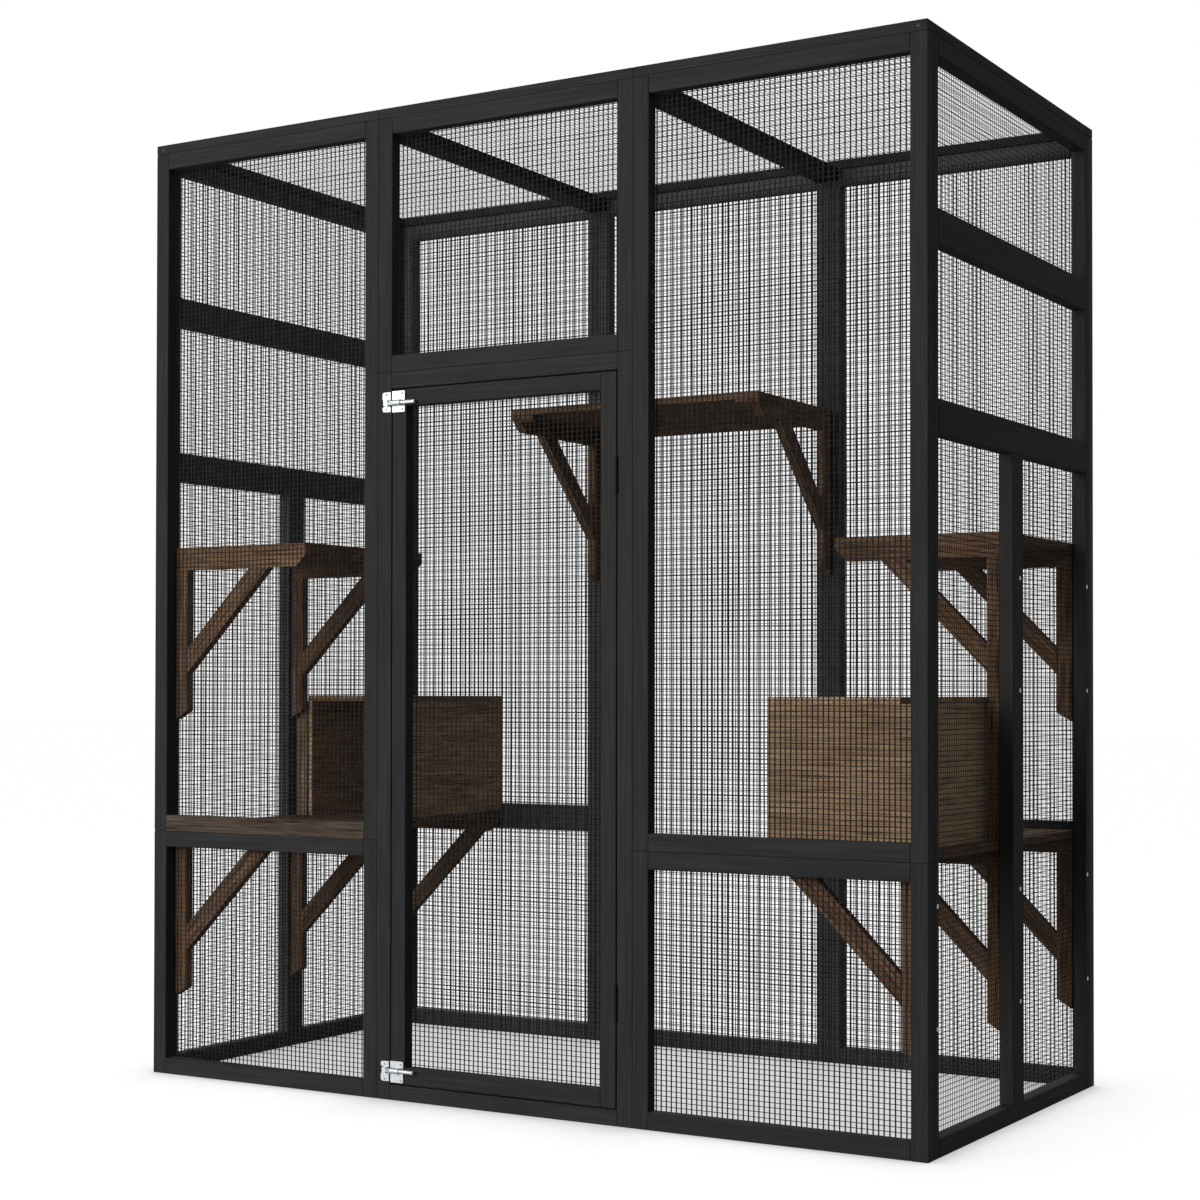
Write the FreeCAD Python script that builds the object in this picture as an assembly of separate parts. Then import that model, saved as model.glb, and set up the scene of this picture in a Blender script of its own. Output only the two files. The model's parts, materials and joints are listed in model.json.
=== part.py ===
import FreeCAD, Part
import math
import os

# Walk-in cat enclosure of painted battens and wire mesh, in millimetres.
# +Z is up, +X is the viewer's right and the front wall faces -Y.
# The origin is the centre of the bounding box at floor level.

os.makedirs("parts", exist_ok=True)

# Whole enclosure, wood only
WIDTH = 1800.0
DEPTH = 900.0
WALL_HEIGHT = 1994.0
ROOF_THICK = 20.0

# Battens and boards
BATTEN = 34.0
FRAME_THICK = 28.0
POST_WIDE = 59.0

# Front wall
BAY_WIDTH = 600.0
LOWER_HEIGHT = 524.0
SURROUND_HEIGHT = 1474.0
SILL = 31.0
DOOR_GAP = 2.5

# Side walls
SIDE_STILE = 21.0
SIDE_RAIL = 63.0
RAIL_LOW_BOTTOM = 1285.0
RAIL_HIGH_BOTTOM = 1625.0

# Back wall
BACK_LEFT_STILE = 58.0
BACK_RIGHT_STILE = 38.0
BACK_RAIL = 36.0
BACK_MID_RAIL = 61.0

# Roof bearers
BEARER_WIDE = 60.0
BEARER_TALL = 24.0

# Nets
NET_THICK = 2.0
NET_WIRE = 2.0
NET_SEAM = 5.0
MESH_PITCH = 10.9
NET_GAPS_MOST = 300

# Shelves
DECK_THICK = 15.0
LOWER_DECK_TOP = 538.0
LOWER_DECK_DEEP = 300.0
MIDDLE_DECK_TOP = 1138.0
MIDDLE_DECK_DEEP = 360.0
HIGH_DECK_TOP = 1457.0
HIGH_DECK_DEEP = 360.0
HIGH_DECK_HALF = 308.0
DECK_PLAY = 2.0
ARM_TALL = 34.0
ARM_NOSE = 7.0
TIP_DEEP = 24.0
TIP_TALL = 14.0
TIP_WIDE = 34.0
BRACKET_THICK = 20.0
LEG_WIDE = 34.0
LEG_DROP = 325.0
FOOT_RISE = 20.0
BRACE_WIDE = 38.0
BRACE_REACH = 224.0
LEDGER_THICK = 20.0

# Nest boxes
BOX_BOARD = 12.0
BOX_TALL = 278.0
BOX_STRIP_GAP = 4.0

# Hinges
HINGE_TALL = 70.0
HINGE_INSET = 200.0
LEAF_THICK = 1.0
LEAF_WIDE = 24.0
KNUCKLE_RADIUS = 3.0
KNUCKLE_CLEAR = 0.4
PIN_RADIUS = 1.5
PIN_CLEAR = 0.05
PIN_HEAD_RADIUS = 2.4
PIN_HEAD_THICK = 1.2

# Latches
PLATE_WIDE = 31.0
PLATE_TALL = 43.0
PLATE_THICK = 1.5
PLATE_CORNER = 1.6
LATCH_INSET = 3.0
BARREL_RADIUS = 6.0
BOLT_RADIUS = 4.2
BOLT_CLEAR = 0.3
BOLT_LONG = 64.0
BOLT_OFF_CENTRE = 3.0
EYE_LONG = 11.0
EYE_THICK = 4.0
EYE_HOLE_RADIUS = 2.0
KNOB_RADIUS = 2.2
KNOB_RISE = 3.0
KEEPER_WIDE = 20.0
KEEPER_TALL = 40.0
KEEPER_WALL = 1.5
KEEPER_BAND = 9.0
KEEPER_GAP = 1.5
KEEPER_CORNER = 5.0
KEEPER_WAIST_TALL = 12.0
KEEPER_WAIST_DEEP = 6.0
HOLE_INSET = 5.0

# Screws
SCREW_RADIUS = 2.0
HEAD_RADIUS = 4.2
HEAD_RISE = 1.4
SMALL_SCREW_RADIUS = 1.4
SMALL_HEAD_RADIUS = 2.6
SMALL_HEAD_RISE = 0.8
SCREW_GRIP = 18.0
SMALL_SCREW_GRIP = 14.0
BRACKET_SCREW_DOWN_1 = 43.0
BRACKET_SCREW_DOWN_2 = 260.0
PANEL_SCREW_COUNT = 4
PANEL_SCREW_TOP = 354.0

# One overrun for every cut
OVERRUN = 1.0

# Places worked out from the sizes above
HALF_WIDTH = WIDTH / 2
LATCH_PROUD = PLATE_THICK + 2 * BARREL_RADIUS
FRONT_Y = (LATCH_PROUD - HEAD_RISE - DEPTH) / 2
BACK_Y = FRONT_Y + DEPTH
MIDDLE_Y = (FRONT_Y + BACK_Y) / 2
FRONT_INNER_Y = FRONT_Y + FRAME_THICK
BACK_INNER_Y = BACK_Y - FRAME_THICK
SIDE_INNER_X = HALF_WIDTH - FRAME_THICK
ROOM_X = SIDE_INNER_X - NET_THICK
ROOM_FRONT_Y = FRONT_INNER_Y + NET_THICK
ROOM_BACK_Y = BACK_INNER_Y - NET_THICK
BAY_X = BAY_WIDTH / 2
JAMB_X = BAY_X - BATTEN
DOOR_HALF = JAMB_X - DOOR_GAP
DOOR_BOTTOM = SILL + DOOR_GAP
DOOR_TOP = SURROUND_HEIGHT - BATTEN - DOOR_GAP
ROOF_TOP = WALL_HEIGHT + ROOF_THICK
DECK_FRONT_Y = ROOM_FRONT_Y + DECK_PLAY
DECK_BACK_Y = ROOM_BACK_Y - DECK_PLAY

DOWN_X = FreeCAD.Vector(-1, 0, 0)
UP_X = FreeCAD.Vector(1, 0, 0)
DOWN_Y = FreeCAD.Vector(0, -1, 0)
UP_Y = FreeCAD.Vector(0, 1, 0)
UP_Z = FreeCAD.Vector(0, 0, 1)


def save(node, solids):
    """Write one node's separate solids to its own file."""
    loose = []
    for shape in solids:
        loose += shape.Solids
    group = loose[0] if len(loose) == 1 else Part.makeCompound(loose)
    group.exportStep(os.path.join("parts", node + ".step"))
    print(node, len(loose), "solids")


def block(x0, x1, y0, y1, z0, z1):
    """A board between two values on each axis."""
    corner = FreeCAD.Vector(x0, y0, z0)
    return Part.makeBox(x1 - x0, y1 - y0, z1 - z0, corner)


def rod(radius, length, start, direction):
    """A round bar from a start point along a direction."""
    return Part.makeCylinder(radius, length, start, direction)


def plate_from(points, direction):
    """A flat plate with straight edges, made by pushing its outline along a direction."""
    wire = Part.makePolygon(points + [points[0]])
    return Part.Face(wire).extrude(direction)


def panel(x0, x1, z0, z1, low, high):
    """Four battens of one panel of the front wall: full stiles with rails between."""
    return [
        block(x0, x0 + BATTEN, FRONT_Y, FRONT_INNER_Y, z0, z1),
        block(x1 - BATTEN, x1, FRONT_Y, FRONT_INNER_Y, z0, z1),
        block(x0 + BATTEN, x1 - BATTEN, FRONT_Y, FRONT_INNER_Y, z0, z0 + low),
        block(x0 + BATTEN, x1 - BATTEN, FRONT_Y, FRONT_INNER_Y, z1 - high, z1),
    ]


def opposite(shapes):
    """The same pieces on the other side wall: half a turn about the upright centre line."""
    turned = []
    for shape in shapes:
        copy = shape.copy()
        copy.rotate(FreeCAD.Vector(0, MIDDLE_Y, 0), UP_Z, 180)
        turned.append(copy)
    return turned


def mirrored(shapes):
    """The same pieces mirrored from left to right."""
    return [shape.mirror(FreeCAD.Vector(0, 0, 0), UP_X) for shape in shapes]


def bored(shapes, tools):
    """The shapes with every screw's body taken out of the wood that it runs through."""
    result = []
    for shape in shapes:
        near = [tool for tool in tools if tool.BoundBox.intersect(shape.BoundBox)]
        result.append(shape.cut(near) if near else shape)
    return result


# Nets: one holed plate each, with gaps a whole number of meshes wide

def net_pitch(wide, tall):
    """The smallest whole number of meshes that keeps a net within its count of gaps."""
    meshes = 1
    while True:
        pitch = meshes * MESH_PITCH
        across = int(wide // pitch)
        up = int(tall // pitch)
        if across * up <= NET_GAPS_MOST:
            return pitch, across, up
        meshes += 1


def net(wide, tall):
    """A flat net in its own plane, from (0, 0) to (wide, tall), pushed to its thickness."""
    pitch, across, up = net_pitch(wide - NET_WIRE, tall - NET_WIRE)
    left = (wide - across * pitch) / 2
    bottom = (tall - up * pitch) / 2
    half = NET_WIRE / 2
    wires = [rectangle(0, wide, 0, tall)]
    for column in range(across):
        for row in range(up):
            u0 = left + column * pitch + half
            v0 = bottom + row * pitch + half
            gap = rectangle(u0, u0 + pitch - NET_WIRE, v0, v0 + pitch - NET_WIRE)
            gap.reverse()
            wires.append(gap)
    return Part.Face(wires).extrude(FreeCAD.Vector(0, 0, NET_THICK))


def rectangle(u0, u1, v0, v1):
    """A closed rectangle in the flat plane."""
    corners = [(u0, v0), (u1, v0), (u1, v1), (u0, v1), (u0, v0)]
    return Part.makePolygon([FreeCAD.Vector(u, v, 0) for u, v in corners])


def front_net(x0, x1, z0, z1):
    """A net standing in the front wall's inner face."""
    plate = net(x1 - x0, z1 - z0)
    plate.rotate(FreeCAD.Vector(0, 0, 0), UP_X, 90)
    plate.translate(FreeCAD.Vector(x0, ROOM_FRONT_Y, z0))
    return plate


def back_net(x0, x1, z0, z1):
    """A net standing in the back wall's inner face."""
    plate = front_net(x0, x1, z0, z1)
    plate.translate(FreeCAD.Vector(0, BACK_INNER_Y - ROOM_FRONT_Y, 0))
    return plate


def side_net(y0, y1, z0, z1):
    """A net standing in the left wall's inner face."""
    plate = net(y1 - y0, z1 - z0)
    plate.rotate(FreeCAD.Vector(0, 0, 0), UP_X, 90)
    plate.rotate(FreeCAD.Vector(0, 0, 0), UP_Z, 90)
    plate.translate(FreeCAD.Vector(-SIDE_INNER_X, y0, z0))
    return plate


def roof_net(x0, x1, y0, y1):
    """A net lying on the underside of a roof frame."""
    plate = net(x1 - x0, y1 - y0)
    plate.translate(FreeCAD.Vector(x0, y0, WALL_HEIGHT - NET_THICK))
    return plate


# Screws: a low round head on the surface and a plain body in the wood

def screw(x, y, z, direction, radius, head, rise, grip):
    """One screw whose head sits on the surface at (x, y, z) and whose body runs inwards."""
    seat = FreeCAD.Vector(x, y, z)
    body = rod(radius, grip, seat, direction)
    cap = rod(head, rise, seat - direction * rise, direction)
    edge = cap.Edges
    outer = [line for line in edge if line.BoundBox.Center.distanceToPoint(seat) > rise / 2]
    rims = [line for line in outer if isinstance(line.Curve, Part.Circle)]
    cap = cap.makeFillet(rise / 2, rims)
    return cap.fuse(body).removeSplitter()


def wood_screw(x, y, z, direction, through):
    """A full-size screw that goes through a given thickness and then grips."""
    return screw(x, y, z, direction, SCREW_RADIUS, HEAD_RADIUS, HEAD_RISE, through + SCREW_GRIP)


def small_screw(x, y, z, direction, through):
    """A small screw for hinges and latches."""
    grip = through + SMALL_SCREW_GRIP
    return screw(x, y, z, direction, SMALL_SCREW_RADIUS, SMALL_HEAD_RADIUS, SMALL_HEAD_RISE, grip)


def flush_screw(x, y, z, direction):
    """A small screw whose head fills the hinge leaf that it holds."""
    seat = FreeCAD.Vector(x, y, z)
    head = rod(SMALL_HEAD_RADIUS, LEAF_THICK, seat, direction)
    body = rod(SMALL_SCREW_RADIUS, LEAF_THICK + SMALL_SCREW_GRIP, seat, direction)
    return head.fuse(body).removeSplitter()


# Brackets: profiles drawn with u out from the wall and z up from the arm's underside

def profile(points, start=0.0, wide=BRACKET_THICK):
    """A bracket piece from (u, z) points, pushed sideways from a start."""
    outline = [FreeCAD.Vector(u, start, z) for u, z in points]
    return plate_from(outline, FreeCAD.Vector(0, wide, 0))


def tip_block(reach, side):
    """A short glue block under the shelf's edge, on one side of the arm's tip."""
    start = BRACKET_THICK if side > 0 else -TIP_WIDE
    outline = [
        (reach - TIP_DEEP, ARM_TALL),
        (reach, ARM_TALL),
        (reach, ARM_TALL - ARM_NOSE),
        (reach - TIP_TALL + ARM_NOSE, ARM_TALL - TIP_TALL),
        (reach - TIP_DEEP, ARM_TALL - TIP_TALL),
    ]
    return profile(outline, start, TIP_WIDE)


def bracket(reach, side):
    """Arm, leg and brace of one bracket against the plane u = 0, with a tip block if it has a side."""
    arm = profile([
        (0, 0),
        (0, ARM_TALL),
        (reach, ARM_TALL),
        (reach, ARM_TALL - ARM_NOSE),
        (reach - ARM_TALL + ARM_NOSE, 0),
    ])
    leg = profile([
        (0, 0),
        (LEG_WIDE, 0),
        (LEG_WIDE, FOOT_RISE - LEG_DROP),
        (0, -LEG_DROP),
    ])
    slant = BRACE_WIDE * math.sqrt(2)
    brace = profile([
        (LEG_WIDE, slant - BRACE_REACH),
        (LEG_WIDE, -BRACE_REACH),
        (LEG_WIDE + BRACE_REACH, 0),
        (LEG_WIDE + BRACE_REACH - slant, 0),
    ])
    if side == 0:
        return [arm, leg, brace]
    return [arm, leg, brace, tip_block(reach, side)]


def left_brackets(reach, arm_bottom, places):
    """Brackets on the left wall, each from its own Y place towards +Y."""
    pieces = []
    for y, side in places:
        for piece in bracket(reach, side):
            piece.translate(FreeCAD.Vector(-ROOM_X, y, arm_bottom))
            pieces.append(piece)
    return pieces


def back_brackets(reach, arm_bottom, places):
    """Brackets on the back wall, each from its own X place towards +X."""
    pieces = []
    for x, side in places:
        for piece in bracket(reach, side):
            piece.rotate(FreeCAD.Vector(0, 0, 0), UP_Z, -90)
            piece.translate(FreeCAD.Vector(x, ROOM_BACK_Y, arm_bottom))
            pieces.append(piece)
    return pieces


# Shelves and their brackets

LOWER_ARM_BOTTOM = LOWER_DECK_TOP - DECK_THICK - ARM_TALL
MIDDLE_ARM_BOTTOM = MIDDLE_DECK_TOP - DECK_THICK - ARM_TALL
HIGH_ARM_BOTTOM = HIGH_DECK_TOP - DECK_THICK - ARM_TALL
MIDDLE_BRACKET_Y = MIDDLE_Y - BRACKET_THICK
FAR_BRACKET_Y = DECK_BACK_Y - BRACKET_THICK

# Each bracket's place along its wall and the side that its tip block is on, 0 for none
LOWER_PLACES = [(DECK_FRONT_Y, 0), (MIDDLE_BRACKET_Y, 0), (FAR_BRACKET_Y, 0)]
MIDDLE_PLACES = [(DECK_FRONT_Y, 1), (MIDDLE_BRACKET_Y, -1)]
HIGH_PLACES = [(-HIGH_DECK_HALF, 1), (HIGH_DECK_HALF - BRACKET_THICK, -1)]

left_lower_brackets = left_brackets(LOWER_DECK_DEEP, LOWER_ARM_BOTTOM, LOWER_PLACES)
left_middle_brackets = left_brackets(MIDDLE_DECK_DEEP, MIDDLE_ARM_BOTTOM, MIDDLE_PLACES)
high_brackets = back_brackets(HIGH_DECK_DEEP, HIGH_ARM_BOTTOM, HIGH_PLACES)


def left_deck(deep, top, y0, y1):
    """A shelf board on the left wall."""
    return block(-ROOM_X, deep - ROOM_X, y0, y1, top - DECK_THICK, top)


left_lower_deck = left_deck(LOWER_DECK_DEEP, LOWER_DECK_TOP, DECK_FRONT_Y, DECK_BACK_Y)
left_middle_deck = left_deck(MIDDLE_DECK_DEEP, MIDDLE_DECK_TOP, DECK_FRONT_Y, MIDDLE_Y)
high_deck = block(
    -HIGH_DECK_HALF,
    HIGH_DECK_HALF,
    ROOM_BACK_Y - HIGH_DECK_DEEP,
    ROOM_BACK_Y,
    HIGH_DECK_TOP - DECK_THICK,
    HIGH_DECK_TOP,
)
LEDGER_X = HIGH_DECK_HALF - BRACKET_THICK
ledger = block(
    -LEDGER_X,
    LEDGER_X,
    ROOM_BACK_Y - BATTEN,
    ROOM_BACK_Y,
    HIGH_DECK_TOP - DECK_THICK - LEDGER_THICK,
    HIGH_DECK_TOP - DECK_THICK,
)


# Nest box on the left lower deck: open towards the front, closed at the back

BOX_BOTTOM = LOWER_DECK_TOP
BOX_TOP = BOX_BOTTOM + BOX_TALL
BOX_WALL_TOP = BOX_TOP - BOX_BOARD
BOX_WALL_X = LEG_WIDE - ROOM_X
BOX_ROOM_X = LOWER_DECK_DEEP - ROOM_X
BOX_END_Y = DECK_BACK_Y - BOX_BOARD


def box_side(x0):
    """An upright side board of the box from its front to its end board."""
    return block(x0, x0 + BOX_BOARD, MIDDLE_Y, BOX_END_Y, BOX_BOTTOM, BOX_WALL_TOP)


left_box_sides = [box_side(BOX_WALL_X), box_side(BOX_ROOM_X - BOX_BOARD)]
left_box_end = block(-ROOM_X, BOX_ROOM_X, BOX_END_Y, DECK_BACK_Y, BOX_BOTTOM, BOX_WALL_TOP)
left_box_roof = block(BOX_WALL_X, BOX_ROOM_X, MIDDLE_Y, DECK_BACK_Y, BOX_WALL_TOP, BOX_TOP)
left_box_strip = block(
    -ROOM_X,
    BOX_WALL_X - BOX_STRIP_GAP,
    MIDDLE_Y,
    MIDDLE_Y + BOX_BOARD,
    BOX_BOTTOM,
    BOX_WALL_TOP,
)


# Screws of the brackets, through the walls

bracket_screws = []
for places, arm_bottom in ((LOWER_PLACES, LOWER_ARM_BOTTOM), (MIDDLE_PLACES, MIDDLE_ARM_BOTTOM)):
    for start, side in places:
        for down in (BRACKET_SCREW_DOWN_1, BRACKET_SCREW_DOWN_2):
            screw_y = start + BRACKET_THICK / 2
            side_screw = wood_screw(
                -HALF_WIDTH,
                screw_y,
                arm_bottom - down,
                UP_X,
                FRAME_THICK + NET_THICK,
            )
            bracket_screws.append(side_screw)
bracket_screws += opposite(bracket_screws)
for start, side in HIGH_PLACES:
    for down in (BRACKET_SCREW_DOWN_1, BRACKET_SCREW_DOWN_2):
        back_screw = wood_screw(
            start + BRACKET_THICK / 2,
            BACK_Y,
            HIGH_ARM_BOTTOM - down,
            DOWN_Y,
            FRAME_THICK + NET_THICK,
        )
        bracket_screws.append(back_screw)


# Screws in the edges of the roof, one each side of every outer corner

ROOF_MIDDLE_Z = WALL_HEIGHT + ROOF_THICK / 2
roof_screws = []
for end_x in (BATTEN / 2 - HALF_WIDTH, HALF_WIDTH - BATTEN / 2):
    roof_screws.append(wood_screw(end_x, FRONT_Y, ROOF_MIDDLE_Z, UP_Y, BATTEN))
    roof_screws.append(wood_screw(end_x, BACK_Y, ROOF_MIDDLE_Z, DOWN_Y, BATTEN))


# Screws that join the front bays to the door surround, driven from the bay's reveal

panel_screws = []
panel_screw_step = (PANEL_SCREW_TOP - WALL_HEIGHT) / PANEL_SCREW_COUNT
for count in range(PANEL_SCREW_COUNT):
    panel_screw_z = WALL_HEIGHT - PANEL_SCREW_TOP + count * (PANEL_SCREW_TOP + panel_screw_step)
    panel_screws.append(
        wood_screw(-BAY_X - BATTEN, FRONT_Y + FRAME_THICK / 2, panel_screw_z, UP_X, BATTEN)
    )
panel_screws += mirrored(panel_screws)


# Hinges on the right of the door: leaves in the gap, knuckles just ahead of the front face

HINGE_X = (JAMB_X + DOOR_HALF) / 2
HINGE_Y = FRONT_Y - KNUCKLE_RADIUS - KNUCKLE_CLEAR
HINGE_MIDDLES = [DOOR_BOTTOM + HINGE_INSET, DOOR_TOP - HINGE_INSET]
LEAF_END_Y = FRONT_Y + LEAF_WIDE
KNUCKLE_TALL = HINGE_TALL / 3
KNUCKLE_PLAY = KNUCKLE_CLEAR


def knuckle(z0, z1):
    """A bored knuckle on the hinge's axis."""
    start = FreeCAD.Vector(HINGE_X, HINGE_Y, z0)
    outer = rod(KNUCKLE_RADIUS, z1 - z0, start, UP_Z)
    bore_start = FreeCAD.Vector(HINGE_X, HINGE_Y, z0 - OVERRUN)
    bore = rod(PIN_RADIUS + PIN_CLEAR, z1 - z0 + 2 * OVERRUN, bore_start, UP_Z)
    return outer, bore


def hinge_leaf(x0, x1, middle, spans):
    """A leaf that fills the hinge's height behind the knuckles and reaches them at its spans."""
    low = middle - HINGE_TALL / 2
    high = middle + HINGE_TALL / 2
    leaf = block(x0, x1, FRONT_Y, LEAF_END_Y, low, high)
    bores = []
    for start, end in spans:
        z0 = low + start
        z1 = low + end
        outer, bore = knuckle(z0, z1)
        bores.append(bore)
        neck = block(x0, x1, HINGE_Y, FRONT_Y, z0, z1)
        leaf = leaf.fuse([neck, outer])
    return leaf.cut(bores).removeSplitter()


FRAME_SPANS = [
    (0, KNUCKLE_TALL - KNUCKLE_PLAY / 2),
    (2 * KNUCKLE_TALL + KNUCKLE_PLAY / 2, HINGE_TALL),
]
DOOR_SPANS = [(KNUCKLE_TALL + KNUCKLE_PLAY / 2, 2 * KNUCKLE_TALL - KNUCKLE_PLAY / 2)]
LEAF_SCREW_Y = FRONT_Y + LEAF_WIDE / 2

frame_leaves = []
door_leaves = []
hinge_pins = []
frame_leaf_screws = []
door_leaf_screws = []
for middle in HINGE_MIDDLES:
    for offset in (KNUCKLE_TALL - HINGE_TALL / 2, HINGE_TALL / 2 - KNUCKLE_TALL):
        z = middle + offset
        frame_leaf_screws.append(flush_screw(JAMB_X - LEAF_THICK, LEAF_SCREW_Y, z, UP_X))
        door_leaf_screws.append(flush_screw(DOOR_HALF + LEAF_THICK, LEAF_SCREW_Y, z, DOWN_X))
    frame_leaves.append(hinge_leaf(JAMB_X - LEAF_THICK, JAMB_X, middle, FRAME_SPANS))
    door_leaves.append(hinge_leaf(DOOR_HALF, DOOR_HALF + LEAF_THICK, middle, DOOR_SPANS))
    top = middle + HINGE_TALL / 2
    pin = rod(PIN_RADIUS, HINGE_TALL, FreeCAD.Vector(HINGE_X, HINGE_Y, top), -UP_Z)
    head = rod(PIN_HEAD_RADIUS, PIN_HEAD_THICK, FreeCAD.Vector(HINGE_X, HINGE_Y, top), UP_Z)
    hinge_pins.append(pin.fuse(head).removeSplitter())
frame_leaves = bored(frame_leaves, frame_leaf_screws)
door_leaves = bored(door_leaves, door_leaf_screws)


# Latches on the left of the door, drawn back; the lower one is the upper one turned over

BOLT_Y = FRONT_Y - PLATE_THICK - BARREL_RADIUS
PLATE_X0 = -DOOR_HALF
PLATE_X1 = PLATE_X0 + PLATE_WIDE
KEEPER_X1 = -JAMB_X - KEEPER_GAP
KEEPER_X0 = KEEPER_X1 - KEEPER_WIDE
BOLT_END_X = KEEPER_X1 + KEEPER_GAP
BARREL_END_SHARE = 0.16


def rounded_plate(x0, x1, z0, z1, thick, radius, round_left, round_right):
    """A thin plate on the front face with its left or right corners rounded."""
    plate = block(x0, x1, FRONT_Y - thick, FRONT_Y, z0, z1)
    corners = []
    for line in plate.Edges:
        box = line.BoundBox
        across = box.YLength > thick / 2
        if across and ((round_left and box.XMax < x1) or (round_right and box.XMin > x0)):
            corners.append(line)
    return plate.makeFillet(radius, corners)


def latch_plate(low, bolt_z):
    """The door's plate with its raised barrel, bored for the bolt."""
    plate = rounded_plate(
        PLATE_X0, PLATE_X1, low, low + PLATE_TALL, PLATE_THICK, PLATE_CORNER, False, True
    )
    start_x = PLATE_X0 + PLATE_WIDE * BARREL_END_SHARE
    end_x = PLATE_X1 - PLATE_WIDE * BARREL_END_SHARE
    start = FreeCAD.Vector(start_x, BOLT_Y, bolt_z)
    barrel = rod(BARREL_RADIUS, end_x - start_x, start, UP_X)
    seat = block(
        start_x,
        end_x,
        BOLT_Y,
        FRONT_Y,
        bolt_z - BARREL_RADIUS,
        bolt_z + BARREL_RADIUS,
    )
    bore_start = FreeCAD.Vector(PLATE_X0 - OVERRUN, BOLT_Y, bolt_z)
    bore = rod(BOLT_RADIUS + BOLT_CLEAR, PLATE_WIDE + 2 * OVERRUN, bore_start, UP_X)
    return plate.fuse([barrel, seat]).cut(bore).removeSplitter()


def latch_bolt(bolt_z):
    """The round bolt with a flat, rounded and pierced end and a small knob behind the barrel."""
    end = FreeCAD.Vector(BOLT_END_X, BOLT_Y, bolt_z)
    body = rod(BOLT_RADIUS, BOLT_LONG, end, UP_X)
    low = bolt_z - BARREL_RADIUS
    high = bolt_z + BARREL_RADIUS
    start_x = BOLT_END_X - OVERRUN
    flat_x = BOLT_END_X + EYE_LONG
    near = BOLT_Y - BARREL_RADIUS
    far = BOLT_Y + BARREL_RADIUS
    flats = [
        block(start_x, flat_x, near, BOLT_Y - EYE_THICK / 2, low, high),
        block(start_x, flat_x, BOLT_Y + EYE_THICK / 2, far, low, high),
    ]
    eye_x = BOLT_END_X + BOLT_RADIUS
    across = FreeCAD.Vector(eye_x, near, bolt_z)
    tip = block(start_x, eye_x, near, far, low, high)
    tip = tip.cut(rod(BOLT_RADIUS, 2 * BARREL_RADIUS, across, UP_Y))
    hole = rod(EYE_HOLE_RADIUS, 2 * BARREL_RADIUS, across, UP_Y)
    body = body.cut(flats).cut(tip).cut(hole)
    knob_start = FreeCAD.Vector(BOLT_END_X + BOLT_LONG - KNOB_RADIUS, BOLT_Y, bolt_z)
    knob = rod(KNOB_RADIUS, BOLT_RADIUS + KNOB_RISE / 2, knob_start, DOWN_Y)
    return body.fuse(knob).removeSplitter()


def latch_keeper(middle_z, bolt_z):
    """The jamb's keeper: two round lobes on a neck, and a raised square band round the bolt."""
    low = middle_z - KEEPER_TALL / 2
    high = low + KEEPER_TALL
    plate = block(
        KEEPER_X0 + KEEPER_WAIST_DEEP,
        KEEPER_X1,
        FRONT_Y - KEEPER_WALL,
        FRONT_Y,
        low + KEEPER_CORNER,
        high - KEEPER_CORNER,
    )
    waist = KEEPER_WAIST_TALL / 2
    for z0, z1 in ((low, bolt_z - waist), (bolt_z + waist, high)):
        lobe = rounded_plate(
            KEEPER_X0, KEEPER_X1, z0, z1, KEEPER_WALL, KEEPER_CORNER, True, False
        )
        plate = plate.fuse(lobe)
    band_x0 = KEEPER_X1 - KEEPER_BAND
    inner = BOLT_RADIUS + BOLT_CLEAR
    outer = inner + KEEPER_WALL
    band = block(band_x0, KEEPER_X1, BOLT_Y - outer, FRONT_Y, bolt_z - outer, bolt_z + outer)
    space = block(
        band_x0 - OVERRUN,
        KEEPER_X1 + OVERRUN,
        BOLT_Y - inner,
        BOLT_Y + inner,
        bolt_z - inner,
        bolt_z + inner,
    )
    return plate.fuse(band).cut(space).removeSplitter()


latch_plates = []
latch_bolts = []
latch_keepers = []
latch_screws = []
keeper_screws = []
LATCH_PLACES = [
    (DOOR_TOP - LATCH_INSET - PLATE_TALL, -BOLT_OFF_CENTRE),
    (DOOR_BOTTOM + LATCH_INSET, BOLT_OFF_CENTRE),
]
for low, off in LATCH_PLACES:
    middle_z = low + PLATE_TALL / 2
    bolt_z = middle_z + off
    holes_z = (low + HOLE_INSET, low + PLATE_TALL - HOLE_INSET)
    for z in holes_z:
        latch_screws.append(
            small_screw(PLATE_X1 - HOLE_INSET, FRONT_Y - PLATE_THICK, z, UP_Y, PLATE_THICK)
        )
    keeper_x = KEEPER_X0 + KEEPER_WIDE / 2
    keeper_low = middle_z - KEEPER_TALL / 2
    for z in (keeper_low + HOLE_INSET, keeper_low + KEEPER_TALL - HOLE_INSET):
        keeper_screws.append(small_screw(keeper_x, FRONT_Y - KEEPER_WALL, z, UP_Y, KEEPER_WALL))
    latch_plates.append(latch_plate(low, bolt_z))
    latch_bolts.append(latch_bolt(bolt_z))
    latch_keepers.append(latch_keeper(middle_z, bolt_z))
latch_plates = bored(latch_plates, latch_screws)
latch_keepers = bored(latch_keepers, keeper_screws)


# Every screw, so that the wood and the nets are bored for them

door_screws = door_leaf_screws + latch_screws
frame_screws = frame_leaf_screws + keeper_screws
wall_screws = frame_screws + bracket_screws + roof_screws + panel_screws


# Front wall frames

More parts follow.
